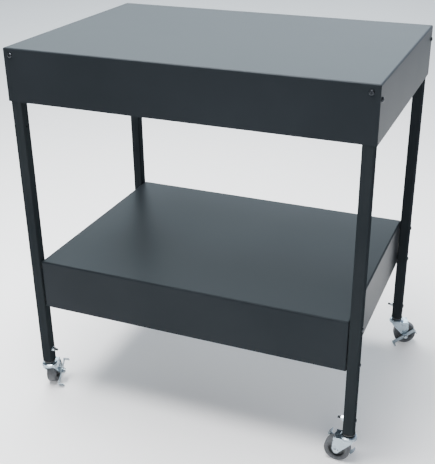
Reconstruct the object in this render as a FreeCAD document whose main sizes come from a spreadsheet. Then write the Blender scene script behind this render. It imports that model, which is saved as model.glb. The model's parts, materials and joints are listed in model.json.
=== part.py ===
import FreeCAD, Part
import Sketcher
import math
import os
import re

# Equipment cart: a folded sheet top pan and a folded sheet lower shelf on four
# square tube legs, each leg standing on a small swivel caster with a side brake.
# Front is -Y, the right-hand side is +X, +Z is up, millimetres.
# The origin lies on the floor under the middle of the cart.

os.makedirs("parts", exist_ok=True)
doc = FreeCAD.newDocument("EquipmentCart")
sheet = doc.addObject("Spreadsheet::Sheet", "Sizes")

# Driving sizes

SIZES = [
    ("pan_length", 820.0),
    ("pan_depth", 559.0),
    ("pan_skirt", 118.0),
    ("sheet_gauge", 1.2),
    ("top_bend", 4.0),
    ("pan_corner_bend", 2.0),
    ("shelf_corner_bend", 3.6),
    ("corner_tab_width", 27.0),
    ("tube_side", 25.0),
    ("tube_wall", 1.5),
    ("tube_corner", 3.0),
    ("leg_length", 797.0),
    ("leg_top_gap", 3.0),
    ("pan_spacer_width", 2.5),
    ("pan_spacer_radius", 8.0),
    ("pan_screw_drop_front", 16.0),
    ("pan_screw_drop_side", 31.0),
    ("shelf_drop", 513.2),
    ("shelf_skirt", 123.0),
    ("shelf_end_gap", 1.6),
    ("shelf_front_inset", 5.4),
    ("shelf_spacer_radius", 6.5),
    ("shelf_bolt_drop_upper", 15.4),
    ("shelf_bolt_drop_lower", 105.6),
    ("screw_radius", 2.95),
    ("screw_hole_radius", 3.2),
    ("screw_head_radius", 5.4),
    ("screw_head_height", 3.3),
    ("screw_head_band", 1.1),
    ("screw_head_shoulder", 0.8),
    ("screw_head_shoulder_height", 2.5),
    ("screw_head_crown", 2.2),
    ("screw_socket_radius", 2.31),
    ("screw_socket_depth", 2.0),
    ("pan_screw_length", 12.0),
    ("shelf_bolt_length", 38.0),
    ("caster_bolt_length", 40.0),
    ("nut_bore", 3.0),
    ("nut_corner_radius", 5.77),
    ("nut_hex_height", 4.6),
    ("nut_collar_radius", 4.7),
    ("nut_collar_height", 1.4),
    ("washer_radius", 6.0),
    ("washer_gauge", 1.6),
    ("rivet_nut_radius", 4.5),
    ("rivet_nut_bulge_radius", 5.8),
    ("rivet_nut_bulge_depth", 3.0),
    ("rivet_nut_length", 13.5),
    ("peg_hole_radius", 2.5),
    ("peg_hole_drop", 173.0),
    ("plug_flange_radius", 15.0),
    ("plug_flange_gauge", 2.7),
    ("plug_insert_length", 48.0),
    ("plug_fit", 0.2),
    ("rivet_nut_fit", 0.05),
    ("stem_hole_radius", 3.1),
    ("plug_corner", 1.6),
    ("caster_bolt_rise", 34.8),
    ("stem_radius", 5.0),
    ("stem_bore_fit", 0.05),
    ("stem_reach", 46.0),
    ("stem_chamfer", 1.0),
    ("stem_collar_radius", 7.5),
    ("stem_collar_length", 4.5),
    ("stem_rivet_radius", 8.0),
    ("stem_rivet_gauge", 2.9),
    ("race_cap_radius", 19.0),
    ("race_cap_gauge", 1.5),
    ("race_cap_height", 5.4),
    ("race_cap_inner_round", 4.0),
    ("race_cap_outer_round", 3.0),
    ("race_cap_round_drop", 2.25),
    ("swivel_gap", 0.3),
    ("swivel_fit", 0.08),
    ("ball_radius", 2.0),
    ("ball_ring_radius", 11.0),
    ("ball_gap", 0.15),
    ("crown_radius", 19.6),
    ("fork_gauge", 2.5),
    ("fork_inner_half", 13.0),
    ("fork_nose", 13.0),
    ("fork_tail", 31.0),
    ("fork_nose_drop", 5.5),
    ("fork_eye_radius", 6.9),
    ("fork_tip_front", 6.8),
    ("fork_tip_front_drop", 2.2),
    ("fork_tip_back", 6.8),
    ("fork_tip_back_drop", 1.4),
    ("fork_heel_reach", 9.4),
    ("fork_heel_rise", 5.0),
    ("fork_web_reach", 17.0),
    ("fork_web_round", 14.8),
    ("caster_trail", 24.0),
    ("wheel_radius", 30.0),
    ("wheel_clearance", 4.5),
    ("tyre_width", 23.0),
    ("tyre_shoulder", 4.0),
    ("core_radius", 21.0),
    ("core_web_half", 4.0),
    ("core_rim_half", 10.5),
    ("core_rim_gauge", 2.5),
    ("hub_radius", 9.5),
    ("hub_half", 12.6),
    ("sleeve_radius", 6.0),
    ("sleeve_half", 12.9),
    ("sleeve_bore", 4.1),
    ("hub_fit", 0.05),
    ("axle_radius", 4.0),
    ("axle_fit", 0.08),
    ("axle_head_radius", 6.0),
    ("axle_head_height", 1.8),
    ("axle_head_crown", 1.0),
    ("axle_nut_corner", 7.5),
    ("axle_nut_hex_height", 5.0),
    ("axle_nut_collar_radius", 6.0),
    ("axle_nut_collar_height", 2.0),
    ("axle_tip", 1.8),
    ("lever_gap", 0.3),
    ("lever_boss_radius", 8.0),
    ("lever_boss_height", 2.9),
    ("lever_gauge", 2.5),
    ("lever_half_width", 4.6),
    ("lever_rise_length", 32.0),
    ("lever_drop_length", 39.0),
    ("lever_tab_half", 6.5),
    ("lever_tab_reach", 12.0),
    ("lever_tilt", 37.0),
    ("turn_front_left", 104.0),
    ("turn_front_right", 179.0),
    ("turn_back_left", 62.0),
    ("turn_back_right", 20.0),
]

# Sizes that follow from the driving ones

FOLLOWING = [
    ("crown_bottom", "2 * wheel_radius + wheel_clearance"),
    ("crown_top", "crown_bottom + fork_gauge"),
    ("race_cap_top", "crown_top + 2 * ball_gap + 2 * ball_radius + race_cap_gauge"),
    ("race_cap_rim", "race_cap_top - race_cap_height"),
    ("leg_foot_height", "race_cap_top + stem_collar_length + plug_flange_gauge"),
    ("top_height", "leg_foot_height + leg_length + leg_top_gap + sheet_gauge"),
    ("pan_bottom", "top_height - pan_skirt"),
    ("shelf_top", "top_height - shelf_drop"),
    ("shelf_bottom", "shelf_top - shelf_skirt"),
    ("leg_x", "pan_length / 2 - 2 * sheet_gauge - pan_spacer_width - tube_side / 2"),
    ("leg_y", "pan_depth / 2 - sheet_gauge - tube_side / 2"),
    ("shelf_length", "2 * (leg_x - tube_side / 2 - shelf_end_gap)"),
    ("shelf_depth", "pan_depth - 2 * shelf_front_inset"),
    ("front_screw_height", "top_height - pan_screw_drop_front"),
    ("side_screw_height", "top_height - pan_screw_drop_side"),
    ("shelf_bolt_high", "shelf_top - shelf_bolt_drop_upper"),
    ("shelf_bolt_low", "shelf_top - shelf_bolt_drop_lower"),
    ("caster_bolt_height", "leg_foot_height + caster_bolt_rise"),
    ("fork_half", "fork_inner_half + fork_gauge"),
    ("lever_inner", "fork_half + lever_gap + lever_boss_height"),
    ("axle_nut_face", "lever_inner + lever_gauge + lever_gap"),
    ("axle_nut_height", "axle_nut_hex_height + axle_nut_collar_height"),
]

NAMES = []
for row, (alias, value) in enumerate(SIZES + FOLLOWING, start=1):
    text = str(value) if isinstance(value, float) else "=" + value
    sheet.set("A%d" % row, alias)
    sheet.set("B%d" % row, text)
    sheet.setAlias("B%d" % row, alias)
    NAMES.append(alias)
doc.recompute()


# Small helpers for sketches, features and placements

def named(expression):
    """Point every size name in an expression at its cell in the sheet."""
    def link(found):
        word = found.group(0)
        return "Sizes." + word if word in NAMES else word
    return re.sub(r"[A-Za-z_]+", link, str(expression))


def value_of(expression):
    """Work out an expression of size names as a plain number."""
    found = sheet.evalExpression(str(expression))
    return getattr(found, "Value", found)


def new_body(name):
    body = doc.addObject("PartDesign::Body", name)
    body.Label = name
    return body


def origin_plane(body, role):
    for feature in body.Origin.OriginFeatures:
        if feature.Role == role:
            return feature
    raise RuntimeError("no plane " + role)


def new_sketch(body, name, role, lift="0"):
    """Add a sketch on one of the body's planes, lifted along the plane's normal."""
    sketch = body.newObject("Sketcher::SketchObject", name)
    sketch.AttachmentSupport = [(origin_plane(body, role), "")]
    sketch.MapMode = "FlatFace"
    sketch.setExpression("AttachmentOffset.Base.z", named(lift))
    return sketch


def tie(sketch, kind, item, point, expression):
    """Hold one point of an item at a distance from the sketch's origin."""
    length = value_of(expression)
    index = sketch.addConstraint(Sketcher.Constraint(kind, -1, 1, item, point, length))
    sketch.setExpression("Constraints[%d]" % index, named(expression))


def closed_outline(sketch, corners):
    """Draw a closed outline through corners given as pairs of expressions."""
    count = len(corners)
    first = sketch.GeometryCount
    points = [FreeCAD.Vector(value_of(across), value_of(up), 0) for across, up in corners]
    for i in range(count):
        sketch.addGeometry(Part.LineSegment(points[i], points[(i + 1) % count]), False)
    for i in range(count):
        following = first + (i + 1) % count
        sketch.addConstraint(Sketcher.Constraint("Coincident", first + i, 2, following, 1))
    for i, (across, up) in enumerate(corners):
        tie(sketch, "DistanceX", first + i, 1, across)
        tie(sketch, "DistanceY", first + i, 1, up)


def circle(sketch, across, up, radius):
    item = sketch.GeometryCount
    middle = FreeCAD.Vector(value_of(across), value_of(up), 0)
    drawn = Part.Circle(middle, FreeCAD.Vector(0, 0, 1), value_of(radius))
    sketch.addGeometry(drawn, False)
    tie(sketch, "DistanceX", item, 3, across)
    tie(sketch, "DistanceY", item, 3, up)
    index = sketch.addConstraint(Sketcher.Constraint("Radius", item, drawn.Radius))
    sketch.setExpression("Constraints[%d]" % index, named(radius))


def hexagon(sketch, across, up, radius):
    """Draw a hexagon inside a construction circle, two corners level with its middle."""
    middle = FreeCAD.Vector(value_of(across), value_of(up), 0)
    reach = value_of(radius)
    corners = []
    for i in range(6):
        angle = math.pi / 3 * i
        corners.append(middle + FreeCAD.Vector(reach * math.cos(angle), reach * math.sin(angle), 0))
    for i in range(6):
        sketch.addGeometry(Part.LineSegment(corners[i], corners[(i + 1) % 6]), False)
    sketch.addGeometry(Part.Circle(middle, FreeCAD.Vector(0, 0, 1), reach), True)
    for i in range(6):
        sketch.addConstraint(Sketcher.Constraint("Coincident", i, 2, (i + 1) % 6, 1))
        sketch.addConstraint(Sketcher.Constraint("PointOnObject", i, 1, 6))
    for i in range(5):
        sketch.addConstraint(Sketcher.Constraint("Equal", i, i + 1))
    sketch.addConstraint(Sketcher.Constraint("Horizontal", 1))
    tie(sketch, "DistanceX", 6, 3, across)
    tie(sketch, "DistanceY", 6, 3, up)
    index = sketch.addConstraint(Sketcher.Constraint("Radius", 6, reach))
    sketch.setExpression("Constraints[%d]" % index, named(radius))


def pad(body, sketch, length, symmetric=False, reverse=False):
    feature = body.newObject("PartDesign::Pad", sketch.Name + "_pad")
    feature.Profile = sketch
    feature.setExpression("Length", named(length))
    if symmetric:
        feature.SideType = "Symmetric"
    feature.Reversed = reverse
    doc.recompute()
    return feature


def pocket(body, sketch, length=None, symmetric=False, reverse=False):
    feature = body.newObject("PartDesign::Pocket", sketch.Name + "_pocket")
    feature.Profile = sketch
    if length is None:
        feature.Type = "ThroughAll"
    else:
        feature.setExpression("Length", named(length))
    if symmetric:
        feature.SideType = "Symmetric"
    feature.Reversed = reverse
    doc.recompute()
    return feature


def turned(body, name, profile):
    """Turn a profile of (radius, height) corners about the body's upright axis."""
    sketch = new_sketch(body, name, "XZ_Plane")
    closed_outline(sketch, profile)
    feature = body.newObject("PartDesign::Revolution", name + "_turned")
    feature.Profile = sketch
    feature.ReferenceAxis = (sketch, ["V_Axis"])
    feature.Angle = 360
    doc.recompute()
    return feature


def turned_on_axle(body, name, profile):
    """Turn a profile of (side offset, radius) corners about the wheel's axle."""
    sketch = new_sketch(body, name, "YZ_Plane", "caster_trail")
    corners = [(side, "wheel_radius + " + radius) for side, radius in profile]
    closed_outline(sketch, corners)
    item = sketch.GeometryCount
    start = FreeCAD.Vector(-value_of("fork_half"), value_of("wheel_radius"), 0)
    finish = FreeCAD.Vector(value_of("fork_half"), value_of("wheel_radius"), 0)
    sketch.addGeometry(Part.LineSegment(start, finish), True)
    tie(sketch, "DistanceX", item, 1, "-fork_half")
    tie(sketch, "DistanceX", item, 2, "fork_half")
    tie(sketch, "DistanceY", item, 1, "wheel_radius")
    tie(sketch, "DistanceY", item, 2, "wheel_radius")
    feature = body.newObject("PartDesign::Revolution", name + "_turned")
    feature.Profile = sketch
    feature.ReferenceAxis = (sketch, ["Axis0"])
    feature.Angle = 360
    doc.recompute()
    return feature


def round_edges(body, base, radius, wanted):
    """Round the edges of the last feature that the test picks out."""
    picked = ["Edge%d" % (i + 1) for i, edge in enumerate(base.Shape.Edges) if wanted(edge)]
    feature = body.newObject("PartDesign::Fillet", base.Name + "_round")
    feature.Base = (base, picked)
    feature.setExpression("Radius", named(radius))
    doc.recompute()
    return feature


def set_base(target, x, y, z):
    target.setExpression("Placement.Base.x", named(x))
    target.setExpression("Placement.Base.y", named(y))
    target.setExpression("Placement.Base.z", named(z))


TOWARD = {
    "+X": FreeCAD.Rotation(FreeCAD.Vector(0, 1, 0), 90),
    "-X": FreeCAD.Rotation(FreeCAD.Vector(0, 1, 0), -90),
    "+Y": FreeCAD.Rotation(FreeCAD.Vector(1, 0, 0), -90),
    "-Y": FreeCAD.Rotation(FreeCAD.Vector(1, 0, 0), 90),
    "+Z": FreeCAD.Rotation(),
}


def drill(body, name, radius, reach, start, toward):
    """Cut a round hole that starts at a point and runs one way."""
    feature = body.newObject("PartDesign::SubtractiveCylinder", name)
    feature.Placement = FreeCAD.Placement(FreeCAD.Vector(), TOWARD[toward])
    feature.setExpression("Radius", named(radius))
    feature.setExpression("Height", named(reach))
    set_base(feature, *start)
    doc.recompute()
    return feature


def block(body, name, kind, size, corner):
    """Add or cut a plain block given by its size and lowest corner."""
    feature = body.newObject("PartDesign::%sBox" % kind, name)
    for side, length in zip(("Length", "Width", "Height"), size):
        feature.setExpression(side, named(length))
    set_base(feature, *corner)
    doc.recompute()
    return feature


def sign(number, expression):
    return expression if number > 0 else "-(%s)" % expression


def group(name, seed, places):
    """Set out copies of one fitting and gather them as separate solids in one node."""
    copies = []
    for i, (x, y, z, toward) in enumerate(places):
        copy = doc.addObject("App::Link", "%s_copy_%d" % (name, i + 1))
        copy.LinkedObject = seed
        copy.Placement = FreeCAD.Placement(FreeCAD.Vector(), TOWARD[toward])
        set_base(copy, x, y, z)
        copies.append(copy)
    gathered = doc.addObject("Part::Compound", name)
    gathered.Label = name
    gathered.Links = copies
    doc.recompute()
    return gathered


BALL_COUNT = 12
NODES = []


# Folded sheet pans

def rounded_block(body, name, half_length, half_depth, height, top_round, corner_round):
    """A block standing on the ground plane with its top and upright edges rounded."""
    outline = new_sketch(body, name + "_outline", "XY_Plane")
    closed_outline(outline, [
        ("-(%s)" % half_length, "-(%s)" % half_depth),
        (half_length, "-(%s)" % half_depth),
        (half_length, half_depth),
        ("-(%s)" % half_length, half_depth),
    ])
    solid = pad(body, outline, height)
    top = solid.Shape.BoundBox.ZMax
    solid = round_edges(body, solid, top_round, lambda edge: edge.BoundBox.ZMin > top - 0.1)
    return round_edges(body, solid, corner_round, lambda edge: edge.BoundBox.ZLength > top / 2)


def sheet_pan(name, length, depth, skirt, bottom, corner_bend):
    """A tray folded from one sheet, open below, with welded tabs in its corners."""
    half_length = "%s / 2" % length
    half_depth = "%s / 2" % depth
    body = new_body(name)
    rounded_block(body, name, half_length, half_depth, skirt, "top_bend", corner_bend)
    hollow = new_body(name + "_hollow")
    rounded_block(hollow, name + "_hollow", half_length + " - sheet_gauge", half_depth + " - sheet_gauge",
                  skirt + " - sheet_gauge", "top_bend - sheet_gauge", corner_bend + " - sheet_gauge")
    cut = body.newObject("PartDesign::Boolean", name + "_cut")
    cut.Type = "Cut"
    cut.setObjects([hollow])
    doc.recompute()
    for side in (-1, 1):
        for end in (-1, 1):
            x = half_length + " - 2 * sheet_gauge" if end > 0 else "-%s + sheet_gauge" % half_length
            y = "%s - %s - corner_tab_width" % (half_depth, corner_bend)
            y = y if side > 0 else "-%s + %s" % (half_depth, corner_bend)
            tab = "%s_tab_%s%s" % (name, "ab"[side > 0], "cd"[end > 0])
            size = ("sheet_gauge", "corner_tab_width", "%s - top_bend" % skirt)
            block(body, tab, "Additive", size, (x, y, "0"))
    set_base(body, "0", "0", bottom)
    return body


def make_top_pan():
    body = sheet_pan("top_pan", "pan_length", "pan_depth", "pan_skirt", "pan_bottom",
                     "pan_corner_bend")
    for side in (-1, 1):
        start = (sign(side, "leg_x"), "-pan_depth", "pan_skirt - pan_screw_drop_front")
        drill(body, "pan_front_hole_%s" % "ab"[side > 0], "screw_hole_radius", "2 * pan_depth", start, "+Y")
        start = ("-pan_length", sign(side, "leg_y"), "pan_skirt - pan_screw_drop_side")
        drill(body, "pan_side_hole_%s" % "ab"[side > 0], "screw_hole_radius", "2 * pan_length", start, "+X")
    NODES.append(body)


def make_lower_shelf():
    body = sheet_pan("lower_shelf", "shelf_length", "shelf_depth", "shelf_skirt", "shelf_bottom",
                     "shelf_corner_bend")
    for side in (-1, 1):
        for row, drop in (("high", "shelf_bolt_drop_upper"), ("low", "shelf_bolt_drop_lower")):
            start = ("-pan_length", sign(side, "leg_y"), "shelf_skirt - " + drop)
            name = "shelf_hole_%s_%s" % (row, "ab"[side > 0])
            drill(body, name, "screw_hole_radius", "2 * pan_length", start, "+X")
    NODES.append(body)


# Square tube legs

CORNERS = [
    ("front_left", -1, -1),
    ("front_right", 1, -1),
    ("back_left", -1, 1),
    ("back_right", 1, 1),
]


def square(sketch, half):
    closed_outline(sketch, [
        ("-(%s)" % half, "-(%s)" % half),
        (half, "-(%s)" % half),
        (half, half),
        ("-(%s)" % half, half),
    ])


def make_leg(tag, right, back):
    name = "leg_" + tag
    body = new_body(name)
    outer = new_sketch(body, name + "_outer", "XY_Plane")
    square(outer, "tube_side / 2")
    solid = pad(body, outer, "leg_length")
    long_edge = sheet.leg_length * 0.9
    solid = round_edges(body, solid, "tube_corner", lambda edge: edge.BoundBox.ZLength > long_edge)
    inner = new_sketch(body, name + "_inner", "XY_Plane")
    square(inner, "tube_side / 2 - tube_wall")
    tube = pocket(body, inner, reverse=True)
    reach = sheet.tube_side / 2 - sheet.tube_wall

    def inner_corner(edge):
        middle = edge.BoundBox.Center
        upright = edge.BoundBox.ZLength > long_edge
        return upright and abs(abs(middle.x) - reach) < 0.01 and abs(abs(middle.y) - reach) < 0.01

    round_edges(body, tube, "tube_corner - tube_wall", inner_corner)
    out_x = "+X" if right > 0 else "-X"
    in_x = "-X" if right > 0 else "+X"
    out_y = "+Y" if back > 0 else "-Y"
    through = "-tube_side" if right > 0 else "tube_side"
    drill(body, name + "_front_screw", "rivet_nut_radius + rivet_nut_fit", "tube_side",
          ("0", "0", "front_screw_height - leg_foot_height"), out_y)
    drill(body, name + "_side_screw", "rivet_nut_radius + rivet_nut_fit", "tube_side",
          ("0", "0", "side_screw_height - leg_foot_height"), out_x)
    for row, height in (("high", "shelf_bolt_high"), ("low", "shelf_bolt_low"),
                        ("foot", "caster_bolt_height")):
        drill(body, "%s_hole_%s" % (name, row), "screw_hole_radius", "2 * tube_side",
              (through, "0", height + " - leg_foot_height"), out_x)
    if back < 0:
        drill(body, name + "_peg_hole", "peg_hole_radius", "tube_side",
              ("0", "0", "leg_length - peg_hole_drop"), in_x)
    set_base(body, sign(right, "leg_x"), sign(back, "leg_y"), "leg_foot_height")
    NODES.append(body)


# Screws, nuts, washers and spacers

def button_screw(name, length):
    body = new_body(name)
    turned(body, name + "_profile", [
        ("0", "-%s" % length),
        ("screw_radius", "-%s" % length),
        ("screw_radius", "0"),
        ("screw_head_radius", "0"),
        ("screw_head_radius", "screw_head_band"),
        ("screw_head_radius - screw_head_shoulder", "screw_head_shoulder_height"),
        ("screw_head_radius - screw_head_crown", "screw_head_height"),
        ("0", "screw_head_height"),
    ])
    socket = new_sketch(body, name + "_socket", "XY_Plane", "screw_head_height")
    hexagon(socket, "0", "0", "screw_socket_radius")
    pocket(body, socket, "screw_socket_depth")
    return body


def lock_nut(name):
    """A hexagon nut with a round collar that holds a nylon ring."""
    body = new_body(name)
    flats = new_sketch(body, name + "_flats", "XY_Plane")
    hexagon(flats, "0", "0", "nut_corner_radius")
    pad(body, flats, "nut_hex_height")
    collar = new_sketch(body, name + "_collar", "XY_Plane", "nut_hex_height")
    circle(collar, "0", "0", "nut_collar_radius")
    pad(body, collar, "nut_collar_height")
    bore = new_sketch(body, name + "_bore", "XY_Plane")
    circle(bore, "0", "0", "nut_bore")
    pocket(body, bore, reverse=True)
    return body


def rivet_nut(name):
    body = new_body(name)
    turned(body, name + "_profile", [
        ("nut_bore", "0"),
        ("rivet_nut_radius", "0"),
        ("rivet_nut_radius", "-tube_wall"),
        ("rivet_nut_bulge_radius", "-tube_wall"),
        ("rivet_nut_bulge_radius", "-tube_wall - rivet_nut_bulge_depth"),
        ("rivet_nut_radius", "-tube_wall - rivet_nut_bulge_depth"),
        ("rivet_nut_radius", "-rivet_nut_length"),
        ("nut_bore", "-rivet_nut_length"),
    ])
    return body


def ring(name, outer, inner, height):
    """A plain ring, a disc with a hole through it."""
    disc = doc.addObject("Part::Cylinder", name + "_disc")
    disc.setExpression("Radius", named(outer))
    disc.setExpression("Height", named(height))
    hole = doc.addObject("Part::Cylinder", name + "_hole")
    hole.setExpression("Radius", named(inner))
    hole.setExpression("Height", named(height))
    made = doc.addObject("Part::Cut", name)
    made.Base = disc
    made.Tool = hole
    doc.recompute()
    return made


def side_places(offset, height):
    """One place on each leg's side, measured outward from the leg's axis."""
    places = []
    for tag, right, back in CORNERS:
        toward = "+X" if right > 0 else "-X"
        x = sign(right, "leg_x + %s" % offset)
        places.append((x, sign(back, "leg_y"), height, toward))
    return places


def make_pan_fixings():
    """Screws through the skirt into nuts riveted in the legs, with spacers at the sides."""
    screw = button_screw("pan_screw_pattern", "pan_screw_length")
    nut = rivet_nut("rivet_nut_pattern")
    spacer = ring("pan_spacer_pattern", "pan_spacer_radius", "screw_hole_radius", "pan_spacer_width")
    side = "tube_side / 2"
    screws = side_places(side + " + pan_spacer_width + 2 * sheet_gauge", "side_screw_height")
    nuts = side_places(side, "side_screw_height")
    spacers = side_places(side, "side_screw_height")
    for tag, right, back in CORNERS:
        toward = "+Y" if back > 0 else "-Y"
        x = sign(right, "leg_x")
        screws.append((x, sign(back, "leg_y + %s + sheet_gauge" % side), "front_screw_height", toward))
        nuts.append((x, sign(back, "leg_y + " + side), "front_screw_height", toward))
    NODES.append(group("pan_screws", screw, screws))
    NODES.append(group("pan_rivet_nuts", nut, nuts))
    NODES.append(group("pan_spacers", spacer, spacers))


def make_shelf_fixings():
    """Long screws through leg, spacer and shelf skirt, with lock nuts inside the shelf."""
    bolt = button_screw("shelf_bolt_pattern", "shelf_bolt_length")
    spacer = ring("shelf_spacer_pattern", "shelf_spacer_radius", "screw_hole_radius", "shelf_end_gap")
    nut = lock_nut("lock_nut_pattern")
    bolts = []
    spacers = []
    nuts = []
    for height in ("shelf_bolt_high", "shelf_bolt_low"):
        for tag, right, back in CORNERS:
            inward = "-X" if right > 0 else "+X"
            outward = "+X" if right > 0 else "-X"
            y = sign(back, "leg_y")
            bolts.append((sign(right, "leg_x + tube_side / 2"), y, height, outward))
            spacers.append((sign(right, "leg_x - tube_side / 2"), y, height, inward))
            inner = "leg_x - tube_side / 2 - shelf_end_gap - 2 * sheet_gauge"
            nuts.append((sign(right, inner), y, height, inward))
    NODES.append(group("shelf_bolts", bolt, bolts))
    NODES.append(group("shelf_spacers", spacer, spacers))
    NODES.append(group("shelf_nuts", nut, nuts))
    return nut


def make_caster_fixings(nut):
    """One cross bolt through each leg holds the plug and the caster's stem."""
    bolt = button_screw("caster_bolt_pattern", "caster_bolt_length")
    washer = ring("washer_pattern", "washer_radius", "screw_hole_radius", "washer_gauge")
    bolts = side_places("tube_side / 2", "caster_bolt_height")
    washers = []
    nuts = []
    for tag, right, back in CORNERS:
        inward = "-X" if right > 0 else "+X"
        y = sign(back, "leg_y")
        washers.append((sign(right, "leg_x - tube_side / 2"), y, "caster_bolt_height", inward))
        nuts.append((sign(right, "leg_x - tube_side / 2 - washer_gauge"), y, "caster_bolt_height", inward))
    NODES.append(group("caster_bolts", bolt, bolts))
    NODES.append(group("caster_washers", washer, washers))
    NODES.append(group("caster_nuts", nut, nuts))


# Leg plugs and casters

def make_leg_plug(tag, right, back):
    """A black plug with a round flange that closes the tube and grips the stem."""
    name = "leg_plug_" + tag
    body = new_body(name)
    insert = new_sketch(body, name + "_insert", "XY_Plane")
    square(insert, "tube_side / 2 - tube_wall - plug_fit")
    solid = pad(body, insert, "plug_insert_length")
    upright = sheet.plug_insert_length * 0.9
    round_edges(body, solid, "plug_corner", lambda edge: edge.BoundBox.ZLength > upright)
    flange = new_sketch(body, name + "_flange", "XY_Plane")
    circle(flange, "0", "0", "plug_flange_radius")
    pad(body, flange, "plug_flange_gauge", reverse=True)
    drill(body, name + "_bore", "stem_radius + stem_bore_fit",
          "plug_insert_length + 2 * plug_flange_gauge", ("0", "0", "-plug_flange_gauge * 1.5"), "+Z")
    drill(body, name + "_cross_hole", "screw_hole_radius", "2 * tube_side",
          ("-tube_side", "0", "caster_bolt_rise"), "+X")
    set_base(body, sign(right, "leg_x"), sign(back, "leg_y"), "leg_foot_height")
    NODES.append(body)


def stand_caster(body, tag, right, back):
    """Stand a caster's part under its leg and turn it to its resting direction."""
    upright = FreeCAD.Rotation(FreeCAD.Vector(0, 0, 1), 30)
    body.Placement = FreeCAD.Placement(FreeCAD.Vector(), upright)
    set_base(body, sign(right, "leg_x"), sign(back, "leg_y"), "0")
    body.setExpression("Placement.Rotation.Angle", named("turn_" + tag))
    doc.recompute()
    NODES.append(body)


def make_stem(tag, right, back):
    name = "stem_" + tag
    body = new_body(name)
    under = "crown_bottom - swivel_gap"
    plug_face = "leg_foot_height - plug_flange_gauge"
    turned(body, name + "_profile", [
        ("0", under + " - stem_rivet_gauge"),
        ("stem_rivet_radius", under + " - stem_rivet_gauge"),
        ("stem_rivet_radius", under),
        ("stem_radius", under),
        ("stem_radius", "race_cap_top"),
        ("stem_collar_radius", "race_cap_top"),
        ("stem_collar_radius", plug_face),
        ("stem_radius", plug_face),
        ("stem_radius", "leg_foot_height + stem_reach"),
        ("stem_radius - stem_chamfer", "leg_foot_height + stem_reach + stem_chamfer"),
        ("0", "leg_foot_height + stem_reach + stem_chamfer"),
    ])
    drill(body, name + "_cross_hole", "stem_hole_radius", "2 * tube_side",
          ("-tube_side", "0", "caster_bolt_height"), "+X")
    set_base(body, sign(right, "leg_x"), sign(back, "leg_y"), "0")
    NODES.append(body)


def make_race_cap(tag, right, back):
    name = "race_cap_" + tag
    body = new_body(name)
    turned(body, name + "_profile", [
        ("stem_radius + stem_bore_fit", "race_cap_top - race_cap_gauge"),
        ("race_cap_radius - race_cap_inner_round", "race_cap_top - race_cap_gauge"),
        ("race_cap_radius - race_cap_gauge", "race_cap_top - 2 * race_cap_gauge"),
        ("race_cap_radius - race_cap_gauge", "race_cap_rim"),
        ("race_cap_radius", "race_cap_rim"),
        ("race_cap_radius", "race_cap_top - race_cap_round_drop"),
        ("race_cap_radius - race_cap_outer_round", "race_cap_top"),
        ("stem_radius + stem_bore_fit", "race_cap_top"),
    ])
    set_base(body, sign(right, "leg_x"), sign(back, "leg_y"), "0")
    NODES.append(body)


def make_swivel_balls(tag, right, back):
    """A ring of steel balls between the race cap and the fork's crown."""
    ball = doc.addObject("Part::Sphere", "ball_" + tag)
    ball.setExpression("Radius", named("ball_radius"))
    places = []
    for i in range(BALL_COUNT):
        angle = "360 deg * %d / %d" % (i, BALL_COUNT)
        x = "%s + ball_ring_radius * cos(%s)" % (sign(right, "leg_x"), angle)
        y = "%s + ball_ring_radius * sin(%s)" % (sign(back, "leg_y"), angle)
        places.append((x, y, "crown_top + ball_gap + ball_radius", "+Z"))
    NODES.append(group("swivel_balls_" + tag, ball, places))


def make_fork(tag, right, back):
    """Two cheeks and a crown pressed from one sheet, the crown's tail rounded."""
    name = "fork_" + tag
    body = new_body(name)
    cheek = new_sketch(body, name + "_cheek", "XZ_Plane")
    closed_outline(cheek, [
        ("-fork_nose", "crown_top"),
        ("-fork_nose", "crown_top - fork_nose_drop"),
        ("caster_trail - fork_tip_front", "wheel_radius - fork_tip_front_drop"),
        ("caster_trail + fork_tip_back", "wheel_radius - fork_tip_back_drop"),
        ("caster_trail + fork_heel_reach", "wheel_radius + fork_heel_rise"),
        ("fork_tail", "crown_top"),
    ])
    pad(body, cheek, "2 * fork_half", symmetric=True)
    eye = new_sketch(body, name + "_eye", "XZ_Plane")
    circle(eye, "caster_trail", "wheel_radius", "fork_eye_radius")
    pad(body, eye, "2 * fork_half", symmetric=True)
    crown = new_sketch(body, name + "_crown", "XY_Plane", "crown_bottom")
    circle(crown, "0", "0", "crown_radius")
    pad(body, crown, "fork_gauge")
    slot = ("2 * fork_tail + fork_nose", "2 * fork_inner_half", "crown_bottom")
    block(body, name + "_slot", "Subtractive", slot, ("-2 * fork_nose", "-fork_inner_half", "0"))
    mouth = ("fork_tail", "2 * fork_inner_half", "2 * fork_gauge")
    block(body, name + "_mouth", "Subtractive", mouth,
          ("fork_web_reach", "-fork_inner_half", "crown_bottom - fork_gauge / 2"))
    web = new_sketch(body, name + "_web", "XY_Plane", "crown_bottom")
    circle(web, "fork_web_reach", "0", "fork_web_round")
    pad(body, web, "fork_gauge")
    drill(body, name + "_swivel_hole", "stem_radius + swivel_fit", "3 * fork_gauge",
          ("0", "0", "crown_bottom - fork_gauge"), "+Z")
    drill(body, name + "_axle_hole", "axle_radius + hub_fit", "4 * fork_half",
          ("caster_trail", "-2 * fork_half", "wheel_radius"), "+Y")
    stand_caster(body, tag, right, back)


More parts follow.
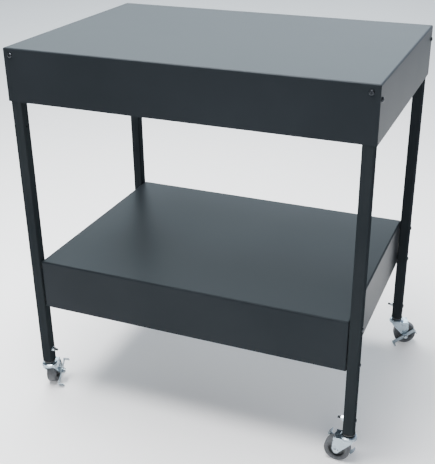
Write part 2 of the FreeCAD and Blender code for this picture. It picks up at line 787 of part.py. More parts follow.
def make_axle(tag, right, back):
    """A bolt through fork, sleeve and lever, with a low round head on the plain side."""
    name = "axle_" + tag
    body = new_body(name)
    turned_on_axle(body, name + "_profile", [
        ("-axle_nut_face - axle_nut_height - axle_tip", "0"),
        ("-axle_nut_face - axle_nut_height - axle_tip", "axle_radius"),
        ("fork_half", "axle_radius"),
        ("fork_half", "axle_head_radius"),
        ("fork_half + axle_head_height - axle_head_crown", "axle_head_radius"),
        ("fork_half + axle_head_height", "axle_head_radius - axle_head_crown"),
        ("fork_half + axle_head_height", "0"),
    ])
    stand_caster(body, tag, right, back)


def make_axle_nut(tag, right, back):
    """The lock nut that keeps the lever on the end of the axle bolt."""
    name = "axle_nut_" + tag
    body = new_body(name)
    flats = new_sketch(body, name + "_flats", "XZ_Plane", "axle_nut_face")
    hexagon(flats, "caster_trail", "wheel_radius", "axle_nut_corner")
    pad(body, flats, "axle_nut_hex_height")
    collar = new_sketch(body, name + "_collar", "XZ_Plane", "axle_nut_face + axle_nut_hex_height")
    circle(collar, "caster_trail", "wheel_radius", "axle_nut_collar_radius")
    pad(body, collar, "axle_nut_collar_height")
    drill(body, name + "_bore", "axle_radius", "3 * fork_half",
          ("caster_trail", "0", "wheel_radius"), "-Y")
    stand_caster(body, tag, right, back)


def make_axle_sleeve(tag, right, back):
    name = "axle_sleeve_" + tag
    body = new_body(name)
    turned_on_axle(body, name + "_profile", [
        ("-sleeve_half", "sleeve_bore"),
        ("sleeve_half", "sleeve_bore"),
        ("sleeve_half", "sleeve_radius"),
        ("-sleeve_half", "sleeve_radius"),
    ])
    stand_caster(body, tag, right, back)


def make_wheel_core(tag, right, back):
    """A moulded core: hub, thin web and rim in one piece."""
    name = "wheel_core_" + tag
    body = new_body(name)
    turned_on_axle(body, name + "_profile", [
        ("-hub_half", "sleeve_radius + hub_fit"),
        ("hub_half", "sleeve_radius + hub_fit"),
        ("hub_half", "hub_radius"),
        ("core_web_half", "hub_radius"),
        ("core_web_half", "core_radius - core_rim_gauge"),
        ("core_rim_half", "core_radius - core_rim_gauge"),
        ("core_rim_half", "core_radius"),
        ("-core_rim_half", "core_radius"),
        ("-core_rim_half", "core_radius - core_rim_gauge"),
        ("-core_web_half", "core_radius - core_rim_gauge"),
        ("-core_web_half", "hub_radius"),
        ("-hub_half", "hub_radius"),
    ])
    stand_caster(body, tag, right, back)


def make_tyre(tag, right, back):
    name = "tyre_" + tag
    body = new_body(name)
    band = turned_on_axle(body, name + "_profile", [
        ("-tyre_width / 2", "core_radius"),
        ("tyre_width / 2", "core_radius"),
        ("tyre_width / 2", "wheel_radius"),
        ("-tyre_width / 2", "wheel_radius"),
    ])
    outer = sheet.wheel_radius * 0.99

    def tread_edge(edge):
        return edge.Curve.TypeId == "Part::GeomCircle" and edge.Curve.Radius > outer

    round_edges(body, band, "tyre_shoulder", tread_edge)
    stand_caster(body, tag, right, back)


def make_brake_lever(tag, right, back):
    """A straight strap that rocks on the axle, its two ends bent out as foot tabs."""
    name = "brake_lever_" + tag
    body = new_body(name)

    def lever_sketch(part, lift):
        sketch = new_sketch(body, "%s_%s" % (name, part), "XZ_Plane", lift)
        tilt = FreeCAD.Rotation(FreeCAD.Vector(0, 0, 1), 30)
        sketch.AttachmentOffset = FreeCAD.Placement(FreeCAD.Vector(), tilt)
        sketch.setExpression("AttachmentOffset.Base.x", named("caster_trail"))
        sketch.setExpression("AttachmentOffset.Base.y", named("wheel_radius"))
        sketch.setExpression("AttachmentOffset.Base.z", named(lift))
        sketch.setExpression("AttachmentOffset.Rotation.Angle", named("lever_tilt"))
        return sketch

    strap = lever_sketch("strap", "lever_inner")
    closed_outline(strap, [
        ("-lever_drop_length", "-lever_half_width"),
        ("lever_rise_length", "-lever_half_width"),
        ("lever_rise_length", "lever_half_width"),
        ("-lever_drop_length", "lever_half_width"),
    ])
    pad(body, strap, "lever_gauge")
    for part, near, far in (
            ("rise_tab", "lever_rise_length - lever_gauge", "lever_rise_length"),
            ("drop_tab", "-lever_drop_length", "-lever_drop_length + lever_gauge")):
        tab = lever_sketch(part, "lever_inner")
        closed_outline(tab, [
            (near, "-lever_tab_half"),
            (far, "-lever_tab_half"),
            (far, "lever_tab_half"),
            (near, "lever_tab_half"),
        ])
        pad(body, tab, "lever_gauge + lever_tab_reach")
    boss = lever_sketch("boss", "fork_half + lever_gap")
    circle(boss, "0", "0", "lever_boss_radius")
    pad(body, boss, "lever_boss_height")
    drill(body, name + "_pivot", "axle_radius + axle_fit", "3 * fork_half",
          ("caster_trail", "-3 * fork_half", "wheel_radius"), "+Y")
    stand_caster(body, tag, right, back)


make_top_pan()
make_lower_shelf()
for corner in CORNERS:
    make_leg(*corner)
make_pan_fixings()
shelf_nut = make_shelf_fixings()
make_caster_fixings(shelf_nut)
for corner in CORNERS:
    make_leg_plug(*corner)
    make_stem(*corner)
    make_race_cap(*corner)
    make_swivel_balls(*corner)
    make_fork(*corner)
    make_axle(*corner)
    make_axle_nut(*corner)
    make_axle_sleeve(*corner)
    make_wheel_core(*corner)
    make_tyre(*corner)
    make_brake_lever(*corner)

doc.recompute()
for item in doc.Objects:
    if "Invalid" in item.State or "Error" in item.State:
        raise RuntimeError("%s did not build" % item.Label)
for node in NODES:
    shape = node.Shape
    if shape.isNull() or not shape.isValid():
        raise RuntimeError("%s has no sound shape" % node.Label)
    shape.exportStep("parts/%s.step" % node.Label)
    box = shape.BoundBox
    print("%-28s solids %2d volume %10.1f z %7.1f to %7.1f" % (
        node.Label, len(shape.Solids), shape.Volume, box.ZMin, box.ZMax))
print(len(NODES), "nodes")
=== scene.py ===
# %% [markdown]
# # An equipment cart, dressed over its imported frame
#
# The cart is a plain workshop piece: a top pan and a lower shelf, both folded
# from thin steel sheet, bolted to four square tube legs. Each leg stands on a
# small swivel caster with a brake lever at its side.
#
# Every part that has a real size already exists as a solid. This script gives
# those solids their finishes, adds the fine detail that is only worth drawing,
# and sets up a studio around the cart. Everything is in metres, front is -Y.
# A length whose name or comment says mm is in millimetres.

# %% Load the frame
import json
import math

import bmesh
import bpy
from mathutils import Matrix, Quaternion, Vector


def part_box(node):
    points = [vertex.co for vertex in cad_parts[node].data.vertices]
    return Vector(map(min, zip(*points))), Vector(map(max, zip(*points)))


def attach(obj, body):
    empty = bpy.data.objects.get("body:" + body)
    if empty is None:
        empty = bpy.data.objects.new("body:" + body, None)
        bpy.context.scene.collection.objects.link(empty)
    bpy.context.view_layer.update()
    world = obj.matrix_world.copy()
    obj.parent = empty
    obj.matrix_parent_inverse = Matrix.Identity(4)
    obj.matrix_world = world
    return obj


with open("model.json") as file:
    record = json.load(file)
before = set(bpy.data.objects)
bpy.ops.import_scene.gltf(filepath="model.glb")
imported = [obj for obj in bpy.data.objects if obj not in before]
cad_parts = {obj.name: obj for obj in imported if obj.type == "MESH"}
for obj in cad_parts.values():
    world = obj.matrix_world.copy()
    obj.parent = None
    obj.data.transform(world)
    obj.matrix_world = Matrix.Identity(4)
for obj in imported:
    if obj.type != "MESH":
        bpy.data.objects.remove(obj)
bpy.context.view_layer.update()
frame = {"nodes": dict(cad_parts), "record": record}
MM = 0.001
CORNERS = ("front_left", "front_right", "back_left", "back_right")

# %% [markdown]
# ## Colour and object helpers
#
# Paint and plastic colours are easiest to think of as the hex values of a
# colour picker. Blender's shaders work in linear light, so one function turns
# a hex value into linear numbers. Another one puts a mesh, a lamp or a camera
# into the scene.

# %% Colour and object helpers
def linear(hex_colour):
    """Turn an sRGB hex colour into linear red, green, blue and alpha."""
    channels = []
    for start in (1, 3, 5):
        value = int(hex_colour[start:start + 2], 16) / 255
        if value <= 0.04045:
            channels.append(value / 12.92)
        else:
            channels.append(((value + 0.055) / 1.055) ** 2.4)
    return (*channels, 1.0)


def add_object(name, data):
    """Put a mesh, a lamp or a camera into the scene."""
    item = bpy.data.objects.new(name, data)
    bpy.context.scene.collection.objects.link(item)
    return item


print("helpers ready; mid grey is", [round(v, 3) for v in linear("#808080")])

# %% [markdown]
# ## Material helpers
#
# Every finish here is built the same way: a plain shader, and noise patterns of
# a known real size that move its colour, its roughness or its relief a little.
# Each of these steps is one function, so a material reads like a recipe.

# %% Material helpers
def add_node(tree, kind, settings=None, links=None):
    """Add a node, set its properties and sockets, and link its inputs."""
    node = tree.nodes.new(kind)
    for name, value in (settings or {}).items():
        if name in node.inputs:
            node.inputs[name].default_value = value
        else:
            setattr(node, name, value)
    for name, source in (links or {}).items():
        tree.links.new(source, node.inputs[name])
    return node


def new_material(name, base, roughness, **sockets):
    """Start a material and return it with its tree and its main shader."""
    material = bpy.data.materials.new(name)
    material.use_nodes = True
    tree = material.node_tree
    shader = tree.nodes["Principled BSDF"]
    shader.inputs["Base Color"].default_value = linear(base)
    shader.inputs["Roughness"].default_value = roughness
    for socket, value in sockets.items():
        shader.inputs[socket.replace("_", " ")].default_value = value
    return material, tree, shader


def noise(tree, cell_mm, detail, stretch_z=1.0):
    """A noise pattern with cells of a real size, squeezed along Z if asked."""
    place = add_node(tree, "ShaderNodeTexCoord").outputs["Object"]
    if stretch_z != 1.0:
        squeeze = add_node(tree, "ShaderNodeMapping",
                           {"Scale": (1.0, 1.0, stretch_z)}, {"Vector": place})
        place = squeeze.outputs["Vector"]
    pattern = add_node(tree, "ShaderNodeTexNoise",
                       {"Scale": 1.0 / (cell_mm * MM), "Detail": detail}, {"Vector": place})
    return pattern.outputs["Fac"]


def vary_colour(tree, shader, pattern, dark, light, low=0.0, high=1.0):
    """Let a pattern move the colour from dark, at low, to light, at high."""
    tone = add_node(tree, "ShaderNodeValToRGB", links={"Fac": pattern})
    dark_end, light_end = tone.color_ramp.elements
    dark_end.position = low
    dark_end.color = linear(dark)
    light_end.position = high
    light_end.color = linear(light)
    tree.links.new(tone.outputs["Color"], shader.inputs["Base Color"])


def vary_roughness(tree, shader, pattern, smoothest, roughest):
    """Let a pattern move the roughness between two values."""
    gloss = add_node(tree, "ShaderNodeMapRange",
                     {"To Min": smoothest, "To Max": roughest}, {"Value": pattern})
    tree.links.new(gloss.outputs["Result"], shader.inputs["Roughness"])


def add_relief(tree, shader, pattern, strength, depth_mm):
    """Raise the surface by a pattern, on top of any relief it already has."""
    surface = shader.inputs["Normal"]
    links = {"Height": pattern}
    if surface.is_linked:
        links["Normal"] = surface.links[0].from_socket
    bump = add_node(tree, "ShaderNodeBump",
                    {"Strength": strength, "Distance": depth_mm * MM}, links)
    tree.links.new(bump.outputs["Normal"], surface)


print("material helpers ready")

# %% [markdown]
# ## Powder coated steel
#
# The pans and legs are mild steel with a dark blue-grey powder coat. The powder
# is sprayed on dry and melted in an oven, so it flows into a skin with a fine
# orange peel: soft waves one or two millimetres across that blur reflections.
# They are drawn two to three millimetres across, because finer waves vanish
# between the pixels. The skin is a polymer, so the shader is a plain
# dielectric with an IOR of 1.5 and a bump from two sizes of noise. The pigment
# is a matting one that scatters most of the mirrored light, so the specular
# level is low on the flat pans. It is nothing on the tubes, whose sides show
# no mirrored light in the photograph. One function makes both coats, and a
# little drift in colour and gloss keeps the large faces from looking printed.

# %% Powder coated steel
COAT_DRIFT_MM = 240.0
COAT_GRIT_MM = 0.8
# Painted reflection colour: a blue tint on the coat's reflections that stands in for the blue of the
# studio light, since a clear coat mirrors light untinted.
PAINTED_REFLECTION_TINT = "#e4effa"


def make_powder_coat(name, dark, light, roughness, peel_mm, specular):
    # The specular tint paints the blue of the studio light into the coat's reflections.
    material, tree, shader = new_material(
        name, dark, roughness, IOR=1.5, Specular_IOR_Level=specular,
        Specular_Tint=linear(PAINTED_REFLECTION_TINT))
    drift = noise(tree, COAT_DRIFT_MM, detail=3.0)
    vary_colour(tree, shader, drift, dark, light, low=0.3, high=0.7)
    vary_roughness(tree, shader, drift, roughness - 0.03, roughness + 0.04)
    add_relief(tree, shader, noise(tree, peel_mm, detail=2.0), strength=0.12, depth_mm=0.05)
    add_relief(tree, shader, noise(tree, COAT_GRIT_MM, detail=1.0), strength=0.06, depth_mm=0.03)
    return material


sheet_coat = make_powder_coat(
    "powder_coated_sheet_satin", "#1e2225", "#24282b", roughness=0.38, peel_mm=3.0, specular=0.08)
tube_coat = make_powder_coat(
    "powder_coated_tube_matt", "#23272a", "#2a2e30", roughness=0.80, peel_mm=2.0, specular=0.0)
print("made", sheet_coat.name, tube_coat.name)

# %% [markdown]
# ## Zinc plated steel
#
# Caster forks, brake levers, nuts and washers are steel with bright zinc. The
# plating follows the pressed or turned surface beneath it, so it shines but
# with soft, slightly cloudy reflections. It is a metal through and through:
# metallic is 1, and the colour is the metal's own reflectance. Pressed parts
# carry faint drawing lines, turned parts are a little smoother, and the levers,
# which are stamped from thicker strip and stepped on, are duller and greyer.
# The polished balls are the same metal recipe at its smoothest.

# %% Zinc plated steel
LINE_SQUEEZE = 12.0


def make_zinc(name, base, roughness, cloud_mm, line_mm):
    material, tree, shader = new_material(name, base, roughness, Metallic=1.0)
    cloud = noise(tree, cloud_mm, detail=4.0)
    vary_roughness(tree, shader, cloud, roughness - 0.07, roughness + 0.1)
    lines = noise(tree, line_mm, detail=2.0, stretch_z=LINE_SQUEEZE)
    add_relief(tree, shader, lines, strength=0.15, depth_mm=0.02)
    return material


zinc_pressed = make_zinc(
    "zinc_plated_steel_pressed", "#b2c0c9", roughness=0.26, cloud_mm=14.0, line_mm=3.0)
zinc_turned = make_zinc(
    "zinc_plated_steel_turned", "#b9c3c9", roughness=0.22, cloud_mm=8.0, line_mm=1.5)
zinc_stamped = make_zinc(
    "zinc_plated_steel_stamped", "#98a3aa", roughness=0.34, cloud_mm=9.0, line_mm=2.0)
ball_steel = make_zinc(
    "ball_steel_polished", "#c4c6c8", roughness=0.12, cloud_mm=4.0, line_mm=1.0)
print("made", zinc_pressed.name, zinc_turned.name, zinc_stamped.name, ball_steel.name)

# %% [markdown]
# ## Black oxide steel
#
# The socket head screws are alloy steel turned black in a hot bath and then
# oiled. The oxide film is under two thousandths of a millimetre thick, so the
# steel still shines through it and a rounded head shows one bright spot. It is
# drawn as a dark metal whose gloss is broken up by a fine noise.

# %% Black oxide steel
OXIDE_SPOT_MM = 2.5


def make_black_oxide(name):
    material, tree, shader = new_material(name, "#34373a", 0.3, Metallic=0.9)
    spots = noise(tree, OXIDE_SPOT_MM, detail=3.0)
    vary_colour(tree, shader, spots, "#26282b", "#43474b")
    vary_roughness(tree, shader, spots, 0.22, 0.38)
    return material


black_oxide = make_black_oxide("black_oxide_steel_oiled")
print("made", black_oxide.name)

# %% [markdown]
# ## Moulded plastics
#
# The leg plugs and the spacers are black nylon, the wheel cores a grey
# polypropylene. Both are injection moulded in spark-eroded moulds, which leave
# a fine matt grain about a third of a millimetre across. That grain is drawn
# as a bump about twice as coarse, so that it shows; the colour drifts only
# slightly.

# %% Moulded plastics
PLASTIC_DRIFT_MM = 18.0
PLASTIC_GRAIN_MM = 0.6


def make_moulded(name, dark, light, roughness, ior):
    material, tree, shader = new_material(name, dark, roughness, IOR=ior)
    vary_colour(tree, shader, noise(tree, PLASTIC_DRIFT_MM, detail=2.0), dark, light)
    grain = noise(tree, PLASTIC_GRAIN_MM, detail=2.0)
    add_relief(tree, shader, grain, strength=0.25, depth_mm=0.05)
    return material


black_nylon = make_moulded(
    "black_nylon_moulded", "#161617", "#1d1d1e", roughness=0.5, ior=1.53)
grey_polypropylene = make_moulded(
    "grey_polypropylene_moulded", "#434547", "#4c4e50", roughness=0.48, ior=1.49)
print("made", black_nylon.name, grey_polypropylene.name)

# %% [markdown]
# ## Grey rubber
#
# The tyres are a soft grey thermoplastic rubber moulded over the core. New, it
# is matt with a faint sheen; rolling on a workshop floor rubs the tread a
# little darker and dustier. The drift in colour is a centimetre or so across,
# the grain of the mould much finer.

# %% Grey rubber
RUB_MM = 11.0
RUBBER_GRAIN_MM = 0.9


def make_rubber(name):
    material, tree, shader = new_material(name, "#4d4f52", 0.62, IOR=1.52)
    rub = noise(tree, RUB_MM, detail=4.0)
    vary_colour(tree, shader, rub, "#444648", "#56585b", low=0.3, high=0.7)
    grain = noise(tree, RUBBER_GRAIN_MM, detail=3.0)
    add_relief(tree, shader, grain, strength=0.3, depth_mm=0.08)
    return material


grey_rubber = make_rubber("grey_rubber_moulded")
print("made", grey_rubber.name)

# %% [markdown]
# ## Finishes for the solids
#
# Each solid takes its finish by the start of its name, because the four legs
# and casters are alike. The first start that fits wins, so the plugs come
# before the legs. Only the finish of a solid changes here, not its shape.

# %% Finishes for the solids
FINISHES = {
    "top_pan": sheet_coat,
    "lower_shelf": sheet_coat,
    "leg_plug": black_nylon,
    "leg_": tube_coat,
    "pan_screws": black_oxide,
    "shelf_bolts": black_oxide,
    "caster_bolts": black_oxide,
    "pan_rivet_nuts": zinc_turned,
    "shelf_nuts": zinc_turned,
    "caster_nuts": zinc_turned,
    "caster_washers": zinc_turned,
    "pan_spacers": black_nylon,
    "shelf_spacers": black_nylon,
    "stem_": zinc_turned,
    "race_cap": zinc_pressed,
    "swivel_balls": ball_steel,
    "fork_": zinc_pressed,
    "axle_": zinc_turned,
    "wheel_core": grey_polypropylene,
    "tyre_": grey_rubber,
    "brake_lever": zinc_stamped,
}


def finish_for(node_name):
    for start, material in FINISHES.items():
        if node_name.startswith(start):
            return material
    raise KeyError(node_name)


for node_name, node in frame["nodes"].items():
    node.data.materials.clear()
    node.data.materials.append(finish_for(node_name))
print("finished", len(frame["nodes"]), "solids")

# %% [markdown]
# ## Broken edges
#
# Pressed and turned steel never has a knife edge: a tumbler or a file takes it
# off, and the thin bright line it leaves is what makes sheet metal read as
# metal. Cutting every edge in the solid would be slow, so a bevel modifier
# does it here. It only rounds edges that turn by more than forty degrees, and
# its width is the real one, a fifth to a third of a millimetre. The moulded
# leg plugs get the same soft edge from their mould.

# %% Broken edges
EDGE_BREAK_MM = {
    "fork_": 0.35,
    "brake_lever_": 0.35,
    "race_cap_": 0.3,
    "axle_nut_": 0.3,
    "shelf_nuts": 0.25,
    "caster_nuts": 0.25,
    "caster_washers": 0.2,
    "leg_plug_": 0.3,
}
EDGE_STEPS = 2
SHARP_ANGLE = math.radians(40)


def break_edges(node, width_mm):
    bevel = node.modifiers.new("edge_break", "BEVEL")
    bevel.width = width_mm * MM
    bevel.segments = EDGE_STEPS
    bevel.limit_method = "ANGLE"
    bevel.angle_limit = SHARP_ANGLE
    bevel.use_clamp_overlap = True


broken = 0
for node_name, node in frame["nodes"].items():
    for start, width_mm in EDGE_BREAK_MM.items():
        if node_name.startswith(start):
            break_edges(node, width_mm)
            broken += 1
print("broke the edges of", broken, "solids")

# %% [markdown]
# ## Rings and threads
#
# Some detail is too fine for the construction: screw threads, the nylon ring
# that makes a nut a lock nut, and the thin line that a mould leaves round a
# tyre. All three are round, so one helper turns a closed outline about an axis,
# as a lathe would. Each piece is placed from the solid it belongs to, and rides
# on that solid's body, so it turns and swivels with it.

# %% Turning helpers
def across(way):
    """Two directions square to an axis and to each other."""
    side = way.orthogonal().normalized()
    return side, way.cross(side)


def mesh_piece(name, corners, faces, material, body):
    """Make a smooth mesh object, give it its finish and let it ride on a body."""
    mesh = bpy.data.meshes.new(name)
    mesh.from_pydata(corners, [], faces)
    mesh.polygons.foreach_set("use_smooth", [True] * len(mesh.polygons))
    mesh.materials.append(material)
    mesh.update()
    piece = add_object(name, mesh)
    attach(piece, body)


def turned_ring(name, outline, start, way, material, body, steps=48):
    """Turn a closed outline of (radius, height) points, in mm, about an axis."""
    side, up = across(way)
    count = len(outline)
    corners = []
    faces = []
    for i in range(steps):
        angle = 2 * math.pi * i / steps
        spoke = side * math.cos(angle) + up * math.sin(angle)
        for radius, height in outline:
            corners.append(start + (way * height + spoke * radius) * MM)
        for j in range(count):
            a = i * count + j
            b = i * count + (j + 1) % count
            c = (i + 1) % steps * count + (j + 1) % count
            d = (i + 1) % steps * count + j
            faces.append((a, b, c, d))
    mesh_piece(name, corners, faces, material, body)


print("turning helpers ready")

# %% [markdown]
# ## Where the bolts end
#
# A bolt's tip and a nut's face are read from the solids themselves: the solid's
# furthest point along the bolt. The cross bolts of the four legs share one
# solid, and so do their nuts, so only the points close to the leg count there.
# The axle of each caster is read from the joint of its brake lever.

# %% Where the bolts end
JOINTS = {joint["name"]: joint for joint in frame["record"]["behaviour"]["joints"]}
NEAR_LEG = 40 * MM


def furthest(node_name, start, way, within=math.inf):
    """How far a solid reaches from a point along a direction."""
    reach = -math.inf
    for corner in frame["nodes"][node_name].data.vertices:
        if (corner.co - start).length < within:
            reach = max(reach, (corner.co - start).dot(way))
    return reach


def cross_bolt_end(corner, node_name):
    """The inner end of one leg's cross bolt, or nut, and the way it points."""
    low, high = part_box("leg_" + corner)
    middle = (low + high) / 2
    inward = Vector((-1 if middle.x > 0 else 1, 0, 0))
    row_low, row_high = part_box(node_name)
    centre = Vector((middle.x, middle.y, (row_low.z + row_high.z) / 2))
    reach = furthest(node_name, centre, inward, within=NEAR_LEG)
    return centre + inward * reach, inward


def axle_end(corner, node_name):
    """The lever's end of one caster's axle, or nut, and the way it points."""
    joint = JOINTS["brake_" + corner]
    centre = Vector(joint["pos_m"])
    outward = -Vector(joint["axis"])
    reach = furthest(node_name, centre, outward)
    return centre + outward * reach, outward


print("joints read:", len(JOINTS))

# %% [markdown]
# ## Threaded bolt ends
#
# The cross bolt of each leg is longer than it needs to be, and its bare end
# shows beyond the nut in the photograph. A metric M6 thread has a pitch of
# 1 mm and the M8 axle bolt one of 1.25 mm. The thread is drawn as a true
# helix: a tube whose radius rises and falls once per pitch, with the wave
# shifted by one pitch for each turn.

# %% Threaded bolt ends
# Lengths in this cell are in mm. The depth is a share of the pitch, and the
# crests stand a hair outside the shank so that the thread covers it.
THREAD_DEPTH = 0.3
THREAD_PROUD = 0.12
THREAD_SPOKES = 32
ROWS_PER_PITCH = 6
BOLT_RADIUS = 2.95
BOLT_PITCH = 1.0
BARE_BOLT_END = 7.0
AXLE_RADIUS = 4.0
AXLE_PITCH = 1.25
BARE_AXLE_END = 1.8


def threaded_end(name, radius, pitch, length, tip, way, material, body):
    """A helical thread that covers the last stretch of a bolt, up to its tip."""
    side, up = across(way)
    depth = pitch * THREAD_DEPTH
    rows = int(length / pitch * ROWS_PER_PITCH)
    corners = []
    faces = []
    for i in range(THREAD_SPOKES):
        turn = i / THREAD_SPOKES
        angle = 2 * math.pi * turn
        spoke = side * math.cos(angle) + up * math.sin(angle)
        for j in range(rows + 1):
            back = length * (1 - j / rows)
            wave = abs(2 * ((back / pitch + turn) % 1.0) - 1.0)
            lead_in = min(1.0, back / pitch)
            height = (radius + THREAD_PROUD) - depth * (1 - wave * lead_in)
            corners.append(tip + (spoke * height - way * back) * MM)
        for j in range(rows):
            a = i * (rows + 1) + j
            b = (i + 1) % THREAD_SPOKES * (rows + 1) + j
            faces.append((a, b, b + 1, a + 1))
    mesh_piece(name, corners, faces, material, body)


for corner in CORNERS:
    tip, inward = cross_bolt_end(corner, "caster_bolts")
    threaded_end("caster_bolt_thread_" + corner, BOLT_RADIUS, BOLT_PITCH, BARE_BOLT_END,
                 tip, inward, black_oxide, "cart")

for corner in CORNERS:
    tip, outward = axle_end(corner, "axle_" + corner)
    threaded_end("axle_thread_" + corner, AXLE_RADIUS, AXLE_PITCH, BARE_AXLE_END,
                 tip, outward, zinc_turned, "fork_" + corner)
print("threaded", 2 * len(CORNERS), "bolt ends")

# %% [markdown]
# ## Nylon rings
#
# A lock nut grips its bolt with a nylon ring rolled into its collar. The ring
# is matt beside the bright zinc, and stands a hair proud of the steel round
# it. A thin turned ring on the face of each collar shows it.

# %% Nylon rings
# Radii and heights are in mm. The ring's top is narrower than its foot by a
# small slope at the rim and a wider one at the bore.
RING_PROUD = 0.12
RIM_SLOPE = 0.1
BORE_SLOPE = 0.2
BOLT_RING = (3.1, 4.2)
AXLE_RING = (4.1, 5.4)


def nylon_ring(name, bore_and_rim, face, way, body):
    bore, rim = bore_and_rim
    outline = [(bore, 0.0), (rim, 0.0), (rim - RIM_SLOPE, RING_PROUD), (bore + BORE_SLOPE, RING_PROUD)]
    turned_ring(name, outline, face, way, black_nylon, body)


for corner in CORNERS:
    face, inward = cross_bolt_end(corner, "caster_nuts")
    nylon_ring("caster_nut_ring_" + corner, BOLT_RING, face, inward, "cart")
    face, outward = axle_end(corner, "axle_nut_" + corner)
    nylon_ring("axle_nut_ring_" + corner, AXLE_RING, face, outward, "fork_" + corner)
print("set", 2 * len(CORNERS), "nylon rings")

# %% [markdown]
# ## Mould lines on the tyres
#
# Each tyre is moulded in two halves that part at the middle of the tread, and
# a thin line of rubber is left there. On a small wheel it is about half a
# millimetre wide and a tenth high. Two shallow rings on each side wall, where
# the mould was turned, catch the light in the same way.

# %% Mould lines on the tyres
# Radii, widths and heights are in mm.
TYRE_RADIUS = 30.0
TYRE_HALF_WIDTH = 11.5
LINE_HALF_WIDTH = 0.3
LINE_HEIGHT = 0.12
LINE_STEPS = 96
SIDE_RINGS = (23.2, 24.6)


def tyre_line(name, outline, corner):
    joint = JOINTS["roll_" + corner]
    turned_ring(name, outline, Vector(joint["pos_m"]), Vector(joint["axis"]), grey_rubber,
                "wheel_" + corner, steps=LINE_STEPS)


for corner in CORNERS:
    foot = TYRE_RADIUS - LINE_HEIGHT
    crest = TYRE_RADIUS + LINE_HEIGHT
    tread = [(foot, -LINE_HALF_WIDTH), (crest, 0.0), (foot, LINE_HALF_WIDTH)]
    tyre_line(f"tread_line_{corner}", tread, corner)
    for letter, side in (("a", -1), ("b", 1)):
        foot = side * TYRE_HALF_WIDTH - side * LINE_HEIGHT
        crest = side * TYRE_HALF_WIDTH + side * LINE_HEIGHT
        for i, radius in enumerate(SIDE_RINGS):
            ring = [(radius - LINE_HALF_WIDTH, foot), (radius, crest), (radius + LINE_HALF_WIDTH, foot)]
            tyre_line(f"side_line_{corner}_{letter}{i + 1}", ring, corner)
print("drew the mould lines of", len(CORNERS), "tyres")

# %% [markdown]
# ## The studio floor
#
# The photograph is a product shot on a white floor with the background cut
# away. A large pale floor, soft lights and air of uneven brightness give the
# same set. A faint glow of the floor stands for the light that a lit white room
# throws under the cart.

# %% The studio floor
FLOOR_REACH = 12.0
FLOOR_GLOW = 0.22


def make_floor():
    mesh = bpy.data.meshes.new("studio_floor")
    shape = bmesh.new()
    bmesh.ops.create_grid(shape, x_segments=2, y_segments=2, size=FLOOR_REACH)
    shape.to_mesh(mesh)
    shape.free()
    floor = add_object("studio_floor", mesh)
    material, _, _ = new_material(
        "studio_paper_matt", "#f2f2f2", 0.9, Emission_Color=linear("#ffffff"),
        Emission_Strength=FLOOR_GLOW)
    mesh.materials.append(material)
    return floor


print("floor laid at", make_floor().location.z)

# %% [markdown]
# ## Soft lights
#
# The light can be read from the cart: the flat tops mirror something bright
# behind the cart that fades towards the left, the fronts are dark and gain a
# little towards the right, and the soft shadow below the shelf reaches out to
# the right and the back. So there is a large softbox above and a little to the
# left, a wide one far behind that the shelf mirrors, and a small weak one near
# the camera.

# %% Soft lights
def soft_light(name, place, aim, width, height, watts, tint="#ffffff"):
    lamp = bpy.data.lights.new(name, "AREA")
    lamp.shape = "RECTANGLE"
    lamp.size = width
    lamp.size_y = height
    lamp.energy = watts
    lamp.color = linear(tint)[:3]
    holder = add_object(name, lamp)
    holder.location = place
    holder.rotation_mode = "QUATERNION"
    holder.rotation_quaternion = (Vector(aim) - Vector(place)).to_track_quat("-Z", "Y")


soft_light("overhead_softbox", place=(-0.45, -0.1, 3.0), aim=(0.0, 0.0, 0.0),
           width=2.2, height=1.8, watts=320)
soft_light("front_softbox", place=(1.1, -1.7, 0.9), aim=(0.4, 0.0, 0.7),
           width=0.8, height=0.8, watts=11)
soft_light("back_softbox", place=(-2.3, 5.5, 3.4), aim=(0.0, 0.0, 0.4),
           width=5.2, height=1.2, watts=165, tint="#e0f2f6")
print("soft lights:", [lamp.name for lamp in bpy.data.lights if lamp.name.endswith("softbox")])

# %% [markdown]
# ## The air of the studio
#
# A real studio is not evenly bright: its white wall stands behind the cart and
# the side behind the camera is dark. The air's brightness is therefore graded
# by direction. It is dim everywhere outside a wide patch round the bright
# side, and rises steadily towards the middle of that patch. The grade belongs
# to the world and not to the camera, so the cart looks lit from every side.

# %% The air of the studio
# The patch is given by the dot product of a direction with the bright side.
# Its middle reaches 0.9, so the air stays a little below its full brightness.
BRIGHT_SIDE = Vector((0.15, 0.85, 0.25))
PATCH_EDGE = 0.5
PATCH_FULL = 0.95
DIM_AIR = 0.3
BRIGHT_AIR = 2.0
AIR_COLOUR = "#dfebff"


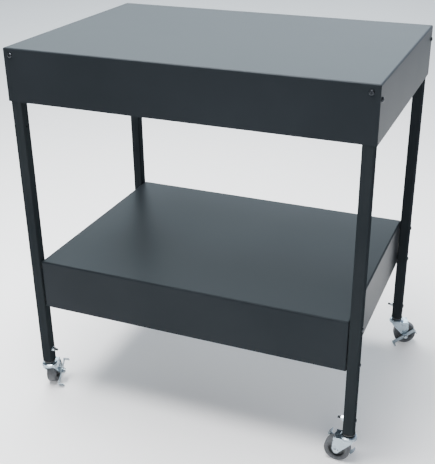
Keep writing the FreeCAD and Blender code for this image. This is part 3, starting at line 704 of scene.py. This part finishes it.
def make_air():
    world = bpy.data.worlds.new("studio_air")
    bpy.context.scene.world = world
    world.use_nodes = True
    tree = world.node_tree
    air = tree.nodes["Background"]
    air.inputs["Color"].default_value = linear(AIR_COLOUR)
    way = add_node(tree, "ShaderNodeTexCoord").outputs["Generated"]
    facing = add_node(tree, "ShaderNodeVectorMath", {"operation": "DOT_PRODUCT"})
    facing.inputs[1].default_value = BRIGHT_SIDE
    tree.links.new(way, facing.inputs[0])
    glow = add_node(tree, "ShaderNodeMapRange",
                    {"From Min": PATCH_EDGE, "From Max": PATCH_FULL,
                     "To Min": DIM_AIR, "To Max": BRIGHT_AIR},
                    {"Value": facing.outputs["Value"]})
    tree.links.new(glow.outputs["Result"], air.inputs["Strength"])
    return world


print("made", make_air().name)

# %% [markdown]
# ## The camera
#
# The camera's place was worked out from the straight edges of the cart in the
# photograph: it looks down by about 26 degrees and stands about 22 degrees
# round to the right of the front. The picture is taller than it is wide, so
# the sensor's width lies along its height.

# %% The camera
EYE = Vector((0.6992, -1.7348, 1.2885))
HEADING = math.radians(-21.79)
DOWN = math.radians(25.6)
ROLL = math.radians(0.211)
FRAME_WIDTH = 435
FRAME_HEIGHT = 464
FOCAL_PIXELS = 826.5
CENTRE_PIXELS = (232.0, 231.1)
SENSOR_WIDTH = 36.0

camera_data = bpy.data.cameras.new("photo_camera")
camera_data.sensor_fit = "AUTO"
camera_data.sensor_width = SENSOR_WIDTH
camera_data.lens = FOCAL_PIXELS / FRAME_HEIGHT * SENSOR_WIDTH
camera_data.shift_x = (FRAME_WIDTH / 2 - CENTRE_PIXELS[0]) / FRAME_HEIGHT
camera_data.shift_y = (CENTRE_PIXELS[1] - FRAME_HEIGHT / 2) / FRAME_HEIGHT

camera = add_object("photo_camera", camera_data)
forward = Vector((math.sin(HEADING) * math.cos(DOWN),
                  math.cos(HEADING) * math.cos(DOWN),
                  -math.sin(DOWN)))
camera.rotation_mode = "QUATERNION"
camera.rotation_quaternion = Quaternion(forward, ROLL) @ forward.to_track_quat("-Z", "Y")
camera.location = EYE
bpy.context.scene.camera = camera
print("camera at", [round(v, 3) for v in EYE], "lens", round(camera_data.lens, 1))
